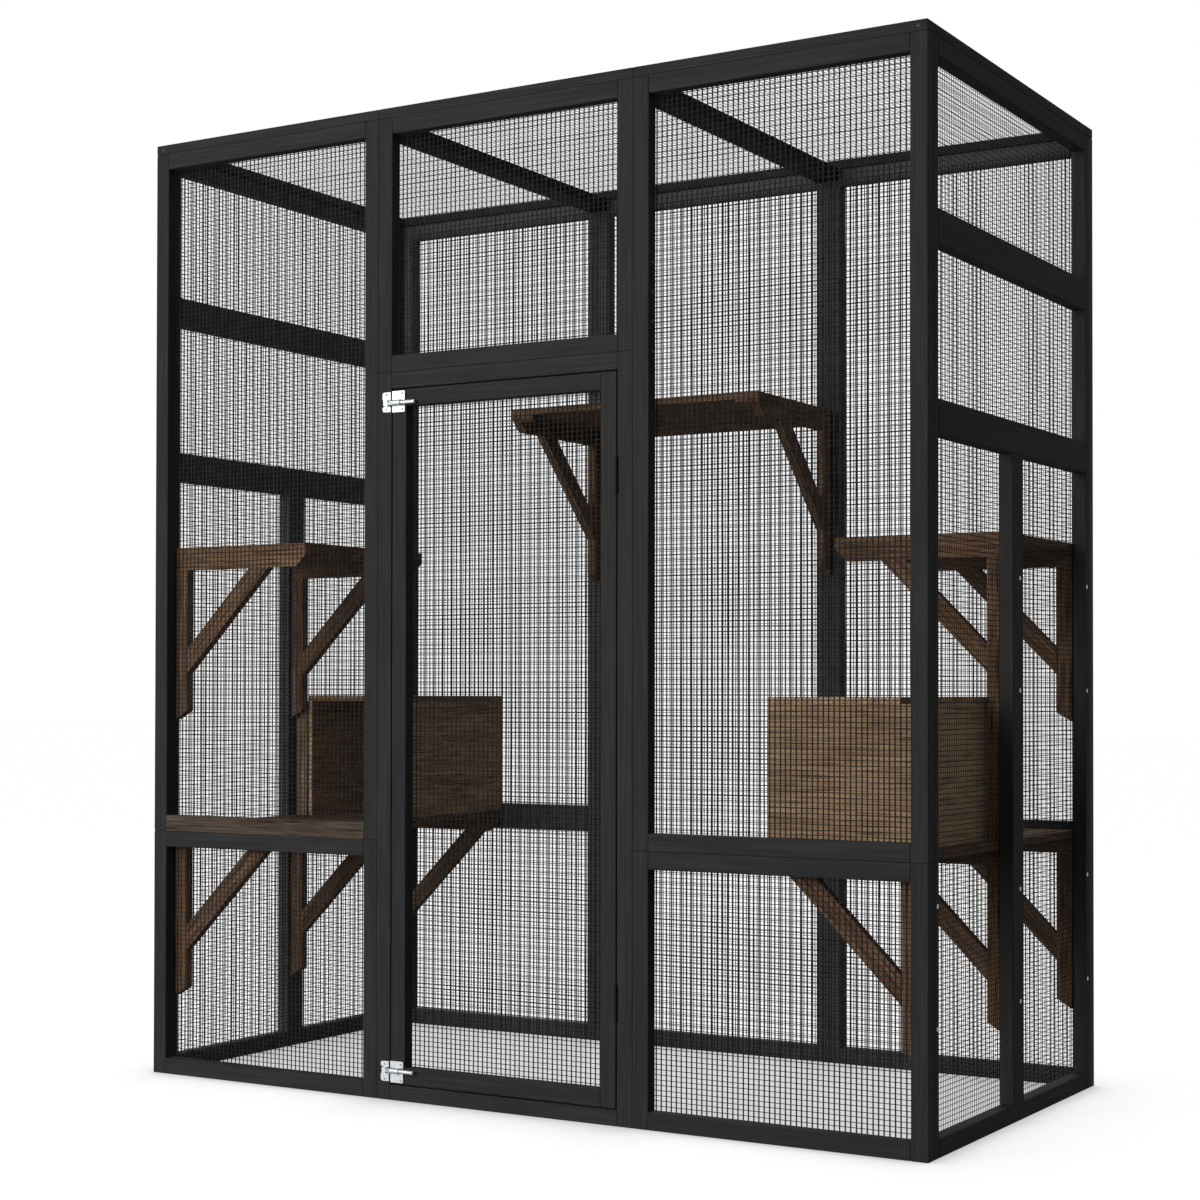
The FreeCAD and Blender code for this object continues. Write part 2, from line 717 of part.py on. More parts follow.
front_left_upper = panel(-HALF_WIDTH, -BAY_X, LOWER_HEIGHT, WALL_HEIGHT, BATTEN, BATTEN)
front_right_upper = panel(BAY_X, HALF_WIDTH, LOWER_HEIGHT, WALL_HEIGHT, BATTEN, BATTEN)
front_left_lower = panel(-HALF_WIDTH, -BAY_X, 0, LOWER_HEIGHT, BATTEN, BATTEN)
front_right_lower = panel(BAY_X, HALF_WIDTH, 0, LOWER_HEIGHT, BATTEN, BATTEN)
brown_rail = front_left_upper.pop(2)
surround = panel(-BAY_X, BAY_X, 0, SURROUND_HEIGHT, SILL, BATTEN)
transom = panel(-BAY_X, BAY_X, SURROUND_HEIGHT, WALL_HEIGHT, BATTEN, BATTEN)
door = panel(-DOOR_HALF, DOOR_HALF, DOOR_BOTTOM, DOOR_TOP, BATTEN, BATTEN)

save("front_left_upper_frame", bored(front_left_upper, wall_screws))
save("front_left_brown_rail", [brown_rail])
save("front_left_lower_frame", bored(front_left_lower, wall_screws))
save("front_right_upper_frame", bored(front_right_upper, wall_screws))
save("front_right_lower_frame", bored(front_right_lower, wall_screws))
save("door_surround_frame", bored(surround, wall_screws))
save("transom_frame", bored(transom, wall_screws))
save("door_frame", bored(door, door_screws))


# Side wall frames, between the front and back walls

POST_HALF = POST_WIDE / 2
left_wall = [
    block(-HALF_WIDTH, -SIDE_INNER_X, FRONT_INNER_Y, FRONT_INNER_Y + SIDE_STILE, 0, WALL_HEIGHT),
    block(-HALF_WIDTH, -SIDE_INNER_X, BACK_INNER_Y - SIDE_STILE, BACK_INNER_Y, 0, WALL_HEIGHT),
]
SIDE_Y0 = FRONT_INNER_Y + SIDE_STILE
SIDE_Y1 = BACK_INNER_Y - SIDE_STILE
SIDE_RAILS = [
    (0, BATTEN),
    (RAIL_LOW_BOTTOM, RAIL_LOW_BOTTOM + SIDE_RAIL),
    (RAIL_HIGH_BOTTOM, RAIL_HIGH_BOTTOM + SIDE_RAIL),
    (WALL_HEIGHT - BATTEN, WALL_HEIGHT),
]
for z0, z1 in SIDE_RAILS:
    left_wall.append(block(-HALF_WIDTH, -SIDE_INNER_X, SIDE_Y0, SIDE_Y1, z0, z1))
left_wall.append(
    block(
        -HALF_WIDTH,
        -SIDE_INNER_X,
        MIDDLE_Y - POST_HALF,
        MIDDLE_Y + POST_HALF,
        BATTEN,
        RAIL_LOW_BOTTOM,
    )
)
save("left_wall_frame", bored(left_wall, wall_screws))
save("right_wall_frame", bored(opposite(left_wall), wall_screws))


# Back wall frame: end stiles, two posts, rails between, middle rails in the side bays only

BACK_MID_BOTTOM = LOWER_HEIGHT - BACK_MID_RAIL / 2
left_half_bay = (BACK_LEFT_STILE - HALF_WIDTH, -BAY_X - POST_HALF)
right_half_bay = (BAY_X + POST_HALF, HALF_WIDTH - BACK_RIGHT_STILE)
centre_bay = (POST_HALF - BAY_X, BAY_X - POST_HALF)
back_wall = [
    block(-HALF_WIDTH, BACK_LEFT_STILE - HALF_WIDTH, BACK_INNER_Y, BACK_Y, 0, WALL_HEIGHT),
    block(HALF_WIDTH - BACK_RIGHT_STILE, HALF_WIDTH, BACK_INNER_Y, BACK_Y, 0, WALL_HEIGHT),
    block(-BAY_X - POST_HALF, POST_HALF - BAY_X, BACK_INNER_Y, BACK_Y, 0, WALL_HEIGHT),
    block(BAY_X - POST_HALF, BAY_X + POST_HALF, BACK_INNER_Y, BACK_Y, 0, WALL_HEIGHT),
]
for x0, x1 in (left_half_bay, centre_bay, right_half_bay):
    back_wall.append(block(x0, x1, BACK_INNER_Y, BACK_Y, 0, BACK_RAIL))
    back_wall.append(block(x0, x1, BACK_INNER_Y, BACK_Y, WALL_HEIGHT - BACK_RAIL, WALL_HEIGHT))
for x0, x1 in (left_half_bay, right_half_bay):
    for z0 in (BACK_MID_BOTTOM, LOWER_HEIGHT):
        rail = block(x0, x1, BACK_INNER_Y, BACK_Y, z0, z0 + BACK_MID_RAIL / 2)
        back_wall.append(rail)
save("back_wall_frame", bored(back_wall, wall_screws))


# Roof frames, open at their joints, where the bearers below carry the edges of the nets

def roof_rails(x0, x1):
    """The front and the back batten of one roof frame."""
    return [
        block(x0, x1, FRONT_Y, FRONT_Y + BATTEN, WALL_HEIGHT, ROOF_TOP),
        block(x0, x1, BACK_Y - BATTEN, BACK_Y, WALL_HEIGHT, ROOF_TOP),
    ]


left_roof_stile = block(
    -HALF_WIDTH,
    BATTEN - HALF_WIDTH,
    FRONT_Y + BATTEN,
    BACK_Y - BATTEN,
    WALL_HEIGHT,
    ROOF_TOP,
)
save("roof_frame_left", bored([left_roof_stile] + roof_rails(-HALF_WIDTH, -BAY_X), wall_screws))
save("roof_frame_centre", roof_rails(-BAY_X, BAY_X))
save("roof_frame_right", bored(
    mirrored([left_roof_stile]) + roof_rails(BAY_X, HALF_WIDTH), wall_screws))

BEARER_HALF = BEARER_WIDE / 2
BEARER_BOTTOM = WALL_HEIGHT - BEARER_TALL
left_bearer = block(
    -BAY_X - BEARER_HALF,
    BEARER_HALF - BAY_X,
    FRONT_INNER_Y,
    BACK_INNER_Y,
    BEARER_BOTTOM,
    WALL_HEIGHT,
)
save("roof_bearers", [left_bearer] + mirrored([left_bearer]))


# Nets on the inner faces

DOOR_LAP = BATTEN / 2
save("front_left_upper_net", bored(
    [front_net(-ROOM_X, -BAY_X - NET_THICK, LOWER_HEIGHT, BEARER_BOTTOM)], wall_screws))
save("front_left_lower_net", bored(
    [front_net(-ROOM_X, -BAY_X - NET_THICK, NET_THICK, LOWER_HEIGHT)], wall_screws))
save("front_right_upper_net", bored(
    [front_net(BAY_X + NET_THICK, ROOM_X, LOWER_HEIGHT, BEARER_BOTTOM)], wall_screws))
save("front_right_lower_net", bored(
    [front_net(BAY_X + NET_THICK, ROOM_X, NET_THICK, LOWER_HEIGHT)], wall_screws))
save("transom_net", [
    front_net(-JAMB_X - DOOR_LAP, JAMB_X + DOOR_LAP, SURROUND_HEIGHT + NET_THICK, BEARER_BOTTOM)])
save("door_net", bored([
    front_net(
        DOOR_LAP - DOOR_HALF,
        DOOR_HALF - DOOR_LAP,
        DOOR_BOTTOM + DOOR_LAP,
        DOOR_TOP - DOOR_LAP,
    )], door_screws))

left_wall_net = side_net(FRONT_INNER_Y, BACK_INNER_Y, NET_THICK, WALL_HEIGHT - NET_THICK)
save("left_wall_net", bored([left_wall_net], wall_screws))
save("right_wall_net", bored(opposite([left_wall_net]), wall_screws))

BACK_SEAM_X = BAY_X + NET_SEAM
save("back_left_net", bored(
    [back_net(-ROOM_X, -BACK_SEAM_X - NET_THICK, NET_THICK, BEARER_BOTTOM)], wall_screws))
save("back_centre_net", bored(
    [back_net(-BACK_SEAM_X, BACK_SEAM_X, NET_THICK, BEARER_BOTTOM)], wall_screws))
save("back_right_net", bored(
    [back_net(BACK_SEAM_X + NET_THICK, ROOM_X, NET_THICK, BEARER_BOTTOM)], wall_screws))

ROOF_SIDE_X = BAY_X + BEARER_HALF
ROOF_CENTRE_X = BAY_X - BEARER_HALF
roof_left_net = roof_net(-ROOM_X, -ROOF_SIDE_X, ROOM_FRONT_Y, ROOM_BACK_Y)
save("roof_left_net", [roof_left_net])
save("roof_centre_net", [roof_net(-ROOF_CENTRE_X, ROOF_CENTRE_X, ROOM_FRONT_Y, ROOM_BACK_Y)])
save("roof_right_net", mirrored([roof_left_net]))


# Shelves, brackets and boxes

save("left_lower_deck", [left_lower_deck])
save("right_lower_deck", opposite([left_lower_deck]))
save("left_middle_deck", [left_middle_deck])
save("right_middle_deck", opposite([left_middle_deck]))
save("high_back_deck", [high_deck])
save("high_back_ledger", [ledger])
save("left_lower_brackets", bored(left_lower_brackets, wall_screws))
save("right_lower_brackets", bored(opposite(left_lower_brackets), wall_screws))
save("left_middle_brackets", bored(left_middle_brackets, wall_screws))
save("right_middle_brackets", bored(opposite(left_middle_brackets), wall_screws))
save("high_back_brackets", bored(high_brackets, wall_screws))

save("left_box_sides", left_box_sides)
save("left_box_end_board", [left_box_end])
save("left_box_roof_board", [left_box_roof])
save("left_box_front_strip", [left_box_strip])
save("right_box_sides", opposite(left_box_sides))
save("right_box_end_board", opposite([left_box_end]))
save("right_box_roof_board", opposite([left_box_roof]))
save("right_box_front_strip", opposite([left_box_strip]))


# Metal fittings

save("hinge_frame_leaves", frame_leaves)
save("hinge_door_leaves", door_leaves)
save("hinge_pins", hinge_pins)
save("latch_plates", latch_plates)
save("upper_bolt", [latch_bolts[0]])
save("lower_bolt", [latch_bolts[1]])
save("latch_keepers", latch_keepers)
save("door_hardware_screws", door_screws)
save("frame_hardware_screws", frame_screws)
save("bracket_screws", bracket_screws)
save("roof_screws", roof_screws)
save("panel_screws", panel_screws)
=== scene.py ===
"""Looks of a walk-in cat enclosure: painted battens, stained shelves, nets and plated fittings."""

import json
import math

import bpy
import numpy as np
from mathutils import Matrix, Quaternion, Vector
from mathutils.geometry import convex_hull_2d

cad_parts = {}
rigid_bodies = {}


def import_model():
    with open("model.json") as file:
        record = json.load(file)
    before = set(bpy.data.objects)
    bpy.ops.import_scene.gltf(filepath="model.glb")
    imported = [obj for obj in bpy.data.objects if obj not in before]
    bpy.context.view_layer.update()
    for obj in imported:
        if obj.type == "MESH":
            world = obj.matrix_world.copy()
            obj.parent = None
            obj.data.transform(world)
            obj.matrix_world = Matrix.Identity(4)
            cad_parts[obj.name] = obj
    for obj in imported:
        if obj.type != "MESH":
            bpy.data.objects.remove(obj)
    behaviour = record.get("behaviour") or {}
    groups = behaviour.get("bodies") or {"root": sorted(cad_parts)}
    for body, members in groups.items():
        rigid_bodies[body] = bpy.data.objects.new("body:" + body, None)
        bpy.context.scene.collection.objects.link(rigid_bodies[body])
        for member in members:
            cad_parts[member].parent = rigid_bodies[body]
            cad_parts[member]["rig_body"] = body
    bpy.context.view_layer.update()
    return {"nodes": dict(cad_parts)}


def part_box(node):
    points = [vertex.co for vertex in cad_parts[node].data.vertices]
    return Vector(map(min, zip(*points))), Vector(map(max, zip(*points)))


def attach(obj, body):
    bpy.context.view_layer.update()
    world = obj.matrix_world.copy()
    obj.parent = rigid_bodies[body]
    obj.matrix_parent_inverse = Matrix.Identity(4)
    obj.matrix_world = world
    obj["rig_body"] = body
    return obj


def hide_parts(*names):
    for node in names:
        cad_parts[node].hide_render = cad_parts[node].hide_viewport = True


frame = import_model()

# Lengths in metres, angles in radians
MM = 0.001
QUARTER_TURN = math.pi / 2
EIGHTH_TURN = math.pi / 4
X_AXIS, Y_AXIS, Z_AXIS = 0, 1, 2

# Corners this close are one, and a corner of an outline that turns less than this share is left out
MERGE = 0.01 * MM
SAME_POINT = 10 * MERGE
STRAIGHT_SHARE = 0.01

# Rounding of the edges of painted battens and of stained boards
EASE = 1.8 * MM
BOARD_EASE = 1.0 * MM

# Welded nets: the step from wire to wire along the net and up it, and the widths of the upright
# and the level wires, which are rolled flat
LEVEL_PITCH = 10.9 * MM
UPRIGHT_PITCH = 9.8 * MM
UPRIGHT_WIDE = 3.0 * MM
LEVEL_WIDE = 1.5 * MM
WIRE_THICK = 0.5 * MM

# A wire has six sides and a ring at each step, lies a little off its place and wanders in waves
WIRE_SIDES = 6
WIRE_STEP = 60 * MM
WIRE_OFF = 0.12 * MM
WANDER_LENGTHS = (0.31, 0.83)
WANDER_WIDTHS = (0.15 * MM, 0.25 * MM)

# How fine the nets at the back and the left are beside the others, level way and upright way
NET_SHARES = {"back": (0.832, 0.832), "left": (0.88, 0.80)}
PLAIN_SHARES = (1.0, 1.0)

# The wires of the roof nets are wider, and look so from below
WIRE_SHARES = {"roof": 1.18}

# Screws: a domed head with a cross recess, as shares of the head's radius and rise
SCREW_SIDES = 24
DOME_STEPS = 8
DOME_FALL = 0.75
DOME_POWER = 2.5
ARM_SHARE = 0.16
CROSS_SHARE = 0.62
RECESS_SHARE = 0.8

# Where the rim of the head and the shank are measured, the latter in rises of the head, and the
# length and the blunt end of the point, in radii of the shank
HEAD_EDGE = 0.1 * MM
BELOW_HEAD = 2
POINT_LONG = 2
TIP_SHARE = 0.1

# Camera, fitted to the picture's frame of 1200 by 1200
IMAGE_SIZE = 1200
SENSOR_WIDE = 36.0
FOCAL_PIXELS = 2208.5
CENTRE_PIXEL = (601.55, 662.30)
CAMERA_PLACE = (2.3992, -4.06495, 0.8210)
CAMERA_AZIMUTH = 0.53939
CAMERA_ELEVATION = 0.01435
CAMERA_ROLL = -0.00129
CAMERA_REACH = 100.0

# How far the grain is shifted at random, and the painted light that lifts boards of the right box
# out of their shade, in steps of tone
GRAIN_SHIFT = 10.0
PAINTED_LIGHT_BOARDS = {"right_box_end_board": 1.0, "right_box_sides": 1.3}
rng = np.random.default_rng(12)


# Meshes

def put_mesh(name, corners, faces, material):
    """An object at the origin made of corner places and flat faces."""
    mesh = bpy.data.meshes.new(name)
    mesh.from_pydata(corners.tolist(), [], faces)
    mesh.polygons.foreach_set("use_smooth", np.zeros(len(faces), bool))
    mesh.materials.append(material)
    piece = bpy.data.objects.new(name, mesh)
    bpy.context.scene.collection.objects.link(piece)
    return piece


def dress(piece, node):
    """The piece stands for one CAD node and rides on that node's body."""
    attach(piece, frame["nodes"][node]["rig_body"])
    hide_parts(node)
    return piece


def gather(parts):
    """Corner arrays and face lists of several shapes, numbered on as one."""
    corners, faces, count = [], [], 0
    for part_corners, part_faces in parts:
        corners.append(part_corners)
        faces += [[corner + count for corner in face] for face in part_faces]
        count += len(part_corners)
    return np.concatenate(corners), faces


def solids_of(node):
    """Corner places of each separate closed solid of a CAD node, in the order of its triangles.

    Each triangle turns its three edges on or off; where none is left on, a solid is complete."""
    mesh = frame["nodes"][node].data
    mesh.calc_loop_triangles()
    places = np.zeros(len(mesh.vertices) * 3)
    mesh.vertices.foreach_get("co", places)
    corners = np.zeros(len(mesh.loop_triangles) * 3, int)
    mesh.loop_triangles.foreach_get("vertices", corners)
    keys, index = np.unique(np.round(places.reshape(-1, 3) / MERGE), axis=0, return_inverse=True)
    triangles = index.reshape(-1)[corners].reshape(-1, 3)
    solids, open_edges, first = [], set(), 0
    for count, (a, b, c) in enumerate(triangles.tolist(), 1):
        for edge in ((a, b), (b, c), (c, a)):
            open_edges ^= {(min(edge), max(edge))}
        if not open_edges:
            solids.append(keys[np.unique(triangles[first:count])] * MERGE)
            first = count
    return solids


# Battens and boards

def outline_of(points, axis):
    """The convex outline, anticlockwise, of a solid seen along one axis, without points in line.

    The hull's points are put in order by their direction from their middle."""
    flat = np.unique(np.delete(points, axis, axis=1), axis=0)
    hull = flat[convex_hull_2d([Vector(p) for p in flat.tolist()])]
    from_middle = hull - hull.mean(axis=0)
    hull = hull[np.argsort(np.arctan2(from_middle[:, 1], from_middle[:, 0]))]
    hull = hull[np.linalg.norm(hull - np.roll(hull, 1, axis=0), axis=1) > SAME_POINT]
    before = hull - np.roll(hull, 1, axis=0)
    after = np.roll(hull, -1, axis=0) - hull
    turn = before[:, 0] * after[:, 1] - before[:, 1] * after[:, 0]
    lengths = np.linalg.norm(before, axis=1) * np.linalg.norm(after, axis=1)
    return hull[np.abs(turn) > lengths * STRAIGHT_SHARE]


def board(points, axis, ease):
    """A prism with eased edges, made from a solid's outline carried along an axis.

    Its core is the outline moved in by the ease; a ring is the core with arcs of radius
    ease * cos(a) round its corners, at ease * (1 - sin(a)) from the end face."""
    outline = outline_of(points, axis)
    sides = len(outline)
    edge = np.roll(outline, -1, axis=0) - outline
    normal = np.stack([edge[:, 1], -edge[:, 0]], axis=1)
    normal /= np.linalg.norm(normal, axis=1)[:, None]
    if np.sum((outline - outline.mean(axis=0)) * normal) < 0:
        normal = -normal
    last = np.roll(normal, 1, axis=0)
    middle = normal + last
    middle /= np.linalg.norm(middle, axis=1)[:, None]
    core = outline - middle * (ease / np.sum(middle * normal, axis=1))[:, None]
    fan = np.stack([last, middle, normal], axis=1)
    low, high = points[:, axis].min(), points[:, axis].max()

    def ring(angle, end, sign):
        """One ring of three points a corner, or the bare core where the angle is a quarter turn."""
        flat = core[:, None] + fan * ease * math.cos(angle)
        flat = core if angle == QUARTER_TURN else flat.reshape(-1, 2)
        return np.insert(flat, axis, end + sign * ease * (1 - math.sin(angle)), axis=1)

    rings = [
        ring(QUARTER_TURN, low, 1), ring(EIGHTH_TURN, low, 1), ring(0, low, 1),
        ring(0, high, -1), ring(EIGHTH_TURN, high, -1), ring(QUARTER_TURN, high, -1),
    ]
    starts = np.cumsum([0] + [len(r) for r in rings]).tolist()
    around = 3 * sides
    faces = []
    for level in (1, 2, 3):
        for side in range(around):
            after = (side + 1) % around
            here, there = starts[level], starts[level + 1]
            faces.append([here + side, here + after, there + after, there + side])
    for cap, rim, flip in ((0, 1, True), (5, 4, False)):
        cores, rims = starts[cap], starts[rim]
        patch = [[cores + side for side in range(sides)]]
        for side in range(sides):
            after = (side + 1) % sides
            first = rims + 3 * side
            patch.append([first, first + 1, cores + side])
            patch.append([first + 1, first + 2, cores + side])
            patch.append([first + 2, rims + 3 * after, cores + after, cores + side])
        faces += [face[::-1] for face in patch] if flip else patch
    corners = np.concatenate(rings)
    if axis == Y_AXIS:
        faces = [face[::-1] for face in faces]
    return corners, faces, outline


def grain_of(corners, outline, axis):
    """Places measured along the grain and across it, shifted at random for each batten.

    The grain follows the longest edge of the outline, or the axis where that is longer."""
    edges = np.roll(outline, -1, axis=0) - outline
    lengths = np.linalg.norm(edges, axis=1)
    extent = np.ptp(corners[:, axis])
    flat = edges[lengths.argmax()] / lengths.max()
    along = np.insert(flat, axis, 0.0) if lengths.max() > extent else np.eye(3)[axis]
    across = np.cross(along, np.eye(3)[axis]) if lengths.max() > extent else np.roll(along, 1)
    other = np.cross(along, across)
    shift = rng.uniform(0, GRAIN_SHIFT, 3)
    return corners @ np.stack([along, across, other], axis=1) + shift


def wooden(node, material, ease, axis):
    """Every solid of a wooden node as an eased board with its own grain and tone.

    Each is carried along the given axis, or along its thinnest side where there is none."""
    parts, grains, tones = [], [], []
    for points in solids_of(node):
        thin = int(np.ptp(points, axis=0).argmin()) if axis is None else axis
        corners, faces, outline = board(points, thin, ease)
        parts.append((corners, faces))
        grains.append(grain_of(corners, outline, thin))
        # Some boards get painted light added to their tone
        tones.append(np.full(len(corners), rng.uniform() + PAINTED_LIGHT_BOARDS.get(node, 0.0)))
    corners, faces = gather(parts)
    piece = put_mesh("wood_" + node, corners, faces, material)
    grain = piece.data.attributes.new("grain", "FLOAT_VECTOR", "POINT")
    grain.data.foreach_set("vector", np.concatenate(grains).ravel())
    tone = piece.data.attributes.new("tone", "FLOAT", "POINT")
    tone.data.foreach_set("value", np.concatenate(tones))
    return dress(piece, node)


# Welded mesh

def wires(starts, direction, length, across, up, width):
    """Straight flat-rolled wires that wander a little: rings of six points round each wire's line.

    A line is a start plus its way along the direction, moved across by two slow waves of random
    phase, as a net that came off a roll never lies quite square."""
    count = len(starts)
    rings = max(int(length / WIRE_STEP), 1) + 1
    way = np.linspace(0.0, length, rings)
    phases = rng.uniform(0, 2 * math.pi, (count, 1, 2))
    waves = np.sin(way[None, :, None] * 2 * math.pi / np.array(WANDER_LENGTHS) + phases)
    wander = np.sum(waves * np.array(WANDER_WIDTHS), axis=2) + rng.normal(0, WIRE_OFF, (count, 1))
    wander[[0, -1]] = 0.0
    angle = np.arange(WIRE_SIDES) * 2 * math.pi / WIRE_SIDES
    wide, thick = width / 2 * np.cos(angle), WIRE_THICK / 2 * np.sin(angle)
    ring = wide[:, None] * across + thick[:, None] * up
    line = starts[:, None] + way[None, :, None] * direction + wander[:, :, None] * across
    corners = line[:, :, None] + ring[None, None]
    index = np.arange(count * rings * WIRE_SIDES).reshape(count, rings, WIRE_SIDES)
    here, after = index, np.roll(index, -1, axis=2)
    sides = np.stack([here[:, :-1], after[:, :-1], after[:, 1:], here[:, 1:]], axis=-1)
    faces = sides.reshape(-1, 4).tolist() + index[:, 0, ::-1].tolist() + index[:, -1].tolist()
    return corners.reshape(-1, 3), faces


def net(node, material):
    """A welded net in the place of a net node: wires one way lie on the wires the other way.

    Each way, as many wires as fit at the pitch are spread evenly from edge to edge. They cast no
    shade, because that of so thin a wire is too soft to show."""
    low, high = (np.array(corner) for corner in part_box(node))
    thin = int((high - low).argmin())
    first, second = [axis for axis in (X_AXIS, Y_AXIS, Z_AXIS) if axis != thin]
    unit = np.eye(3)
    place = node.split("_")[0]
    parts = []
    for run, step, lift in ((second, first, 0.5), (first, second, -0.5)):
        share = NET_SHARES.get(place, PLAIN_SHARES)[1 if step == Z_AXIS else 0]
        wide = WIRE_SHARES.get(place, 1.0) * (UPRIGHT_WIDE if run == Z_AXIS else LEVEL_WIDE)
        width = share * wide
        span = high[step] - low[step] - width
        pitch = share * (UPRIGHT_PITCH if step == Z_AXIS else LEVEL_PITCH)
        count = int(round(span / pitch)) + 1
        offsets = np.linspace(low[step] + width / 2, high[step] - width / 2, count)
        starts = np.zeros((count, 3))
        starts[:, step] = offsets
        starts[:, run] = low[run]
        starts[:, thin] = (low[thin] + high[thin]) / 2 + lift * WIRE_THICK
        across = np.cross(unit[run], unit[thin])
        long = high[run] - low[run]
        parts.append(wires(starts, unit[run], long, -across, unit[thin], width))
    corners, faces = gather(parts)
    piece = put_mesh("mesh_" + node, corners, faces, material)
    piece.visible_shadow = False
    piece.visible_diffuse = False
    return dress(piece, node)


# Screws

def screw_shape(points):
    """A pan-head screw with a cross recess, turned about its own axis, in place of a plain one.

    The outline is a list of (radius, height) from the middle of the head's top out, down and in to
    the tip. The dome falls by DOME_FALL of its rise, as its radius share to the power DOME_POWER,
    and the recess lowers the top where a point is near either arm of the cross."""
    axis = int(np.ptp(points, axis=0).argmax())
    low, high = points.min(axis=0), points.max(axis=0)
    middle = (low + high) / 2
    reach = np.linalg.norm(np.delete(points - middle, axis, axis=1), axis=1)
    head_end = points[reach.argmax(), axis]
    sign = 1.0 if head_end > middle[axis] else -1.0
    head = reach.max()
    top = high[axis] if sign > 0 else low[axis]
    long = high[axis] - low[axis]
    seated = np.abs(points[reach > head - HEAD_EDGE, axis] - top)
    rise = seated.max()
    shank = np.median(reach[np.abs(points[:, axis] - top) > rise * BELOW_HEAD])
    dome = np.linspace(0, 1, DOME_STEPS)[1:]
    fall = 1 - DOME_FALL * dome ** DOME_POWER
    rings = list(zip((head * dome).tolist(), (rise * fall).tolist()))
    rings += [(head, 0.0), (shank, 0.0)]
    rings += [(shank, rise - long + POINT_LONG * shank), (shank * TIP_SHARE, rise - long)]
    rings = np.array(rings)
    angle = np.arange(SCREW_SIDES) * 2 * math.pi / SCREW_SIDES
    across, along = rings[:, :1] * np.cos(angle), rings[:, :1] * np.sin(angle)
    height = np.repeat(rings[:, 1:], SCREW_SIDES, axis=1)
    near_arm = np.minimum(np.abs(across), np.abs(along)) < head * ARM_SHARE
    in_cross = near_arm & (np.hypot(across, along) < head * CROSS_SHARE) & (height > 0)
    height = np.where(in_cross, height - rise * RECESS_SHARE, height)
    flat = np.stack([across, along], axis=-1).reshape(-1, 2)
    flat = np.concatenate([flat, np.zeros((2, 2))])
    tall = np.concatenate([height.ravel(), [rise * (1 - RECESS_SHARE), rise - long]])
    corners = np.insert(flat, axis, sign * tall, axis=1)
    centre = middle.copy()
    centre[axis] = top - sign * rise
    index = np.arange(len(rings) * SCREW_SIDES).reshape(len(rings), SCREW_SIDES)
    after = np.roll(index, -1, axis=1)
    sides = np.stack([index[:-1], index[1:], after[1:], after[:-1]], axis=-1)
    faces = sides.reshape(-1, 4).tolist()
    hub, tip = index.size, index.size + 1
    faces += [[hub, a, b] for a, b in zip(index[0].tolist(), after[0].tolist())]
    faces += [[tip, b, a] for a, b in zip(index[-1].tolist(), after[-1].tolist())]
    if (sign < 0) != (axis == Y_AXIS):
        faces = [face[::-1] for face in faces]
    return corners + centre, faces


def screws(node, material):
    """Every screw of a node as a turned and recessed one."""
    parts = [screw_shape(points) for points in solids_of(node)]
    corners, faces = gather(parts)
    piece = put_mesh("turned_" + node, corners, faces, material)
    return dress(piece, node)


# Materials

# Length and width of the marks in stained wood: its growth rings, bands of rings, and drying
# cracks, which are drawn wider than the hairlines they are, so that they show
STREAK_SIZE = (85 * MM, 2.9 * MM)
BAND_SIZE = (300 * MM, 22 * MM)
CRACK_SIZE = (150 * MM, 2.2 * MM)

# The same of painted wood: the grain under the paint, and patches where the brush left less
PAINT_STREAK_SIZE = (220 * MM, 4 * MM)
PAINT_PATCH_SIZE = (260 * MM, 40 * MM)

# How strongly the broad marks and the tone of each board weigh beside the fine streaks, and the
# sums at which each colour of a finish is reached
BAND_WEIGHT = 0.32
PATCH_WEIGHT = 0.6
STAIN_TONE = 0.07
PAINT_TONE = 0.10
STAIN_STOPS = (0.47, 0.59, 0.71, 0.89)
PAINT_STOPS = (0.45, 0.85, 1.0)

# Drying cracks: the noise from which they start and end, and how dark they are
CRACK_START = 0.27
CRACK_END = 0.37
CRACK_SHADE = 0.30

# Strength and depth of the relief
SAWN_RELIEF = (0.5, 0.5 * MM)
PAINTED_RELIEF = (0.25, 0.3 * MM)

# Blotches of a dipped coating and of worn metal, drawn coarse enough to show, the noise at which
# each colour is reached, and how far the metal's roughness changes with it
WIRE_BLOTCH = 17 * MM
METAL_BLOTCH = 2.9 * MM
WIRE_STOPS = (0.35, 0.65)
METAL_STOPS = (0.3, 0.7)
WORN_ROUGHNESS = 0.08

# Typical IORs, the faint gloss of matt surfaces, and how rough the noise of the grain is
WOOD_IOR = 1.45
COATING_IOR = 1.5
FAINT_GLOSS = 0.02
NOISE_ROUGHNESS = 0.6

# Places of the inputs and the output of a node that mixes two colours
MIX_SHARE, MIX_FIRST, MIX_SECOND = 0, 6, 7
MIX_COLOUR = 2


def linear(colour):
    """The linear value of an sRGB hex colour."""
    parts = [int(colour[place:place + 2], 16) / 255 for place in (1, 3, 5)]
    return [c / 12.92 if c <= 0.04045 else ((c + 0.055) / 1.055) ** 2.4 for c in parts] + [1.0]


def add(tree, kind, links=(), stops=(), **settings):
    """One node with its settings, each named or numbered input linked or set, and where it is a
    ramp, its stops as (place, hex colour)."""
    node = tree.nodes.new(kind)
    for name, value in settings.items():
        setattr(node, name, value)
    for name, value in dict(links).items():
        socket = node.inputs[name]
        if isinstance(value, bpy.types.NodeSocket):
            tree.links.new(value, socket)
        else:
            socket.default_value = value
    if stops:
        elements = node.color_ramp.elements
        while len(elements) < len(stops):
            elements.new(0.5)
        for element, (place, colour) in zip(elements, stops):
            element.position = place
            element.color = linear(colour)
    return node


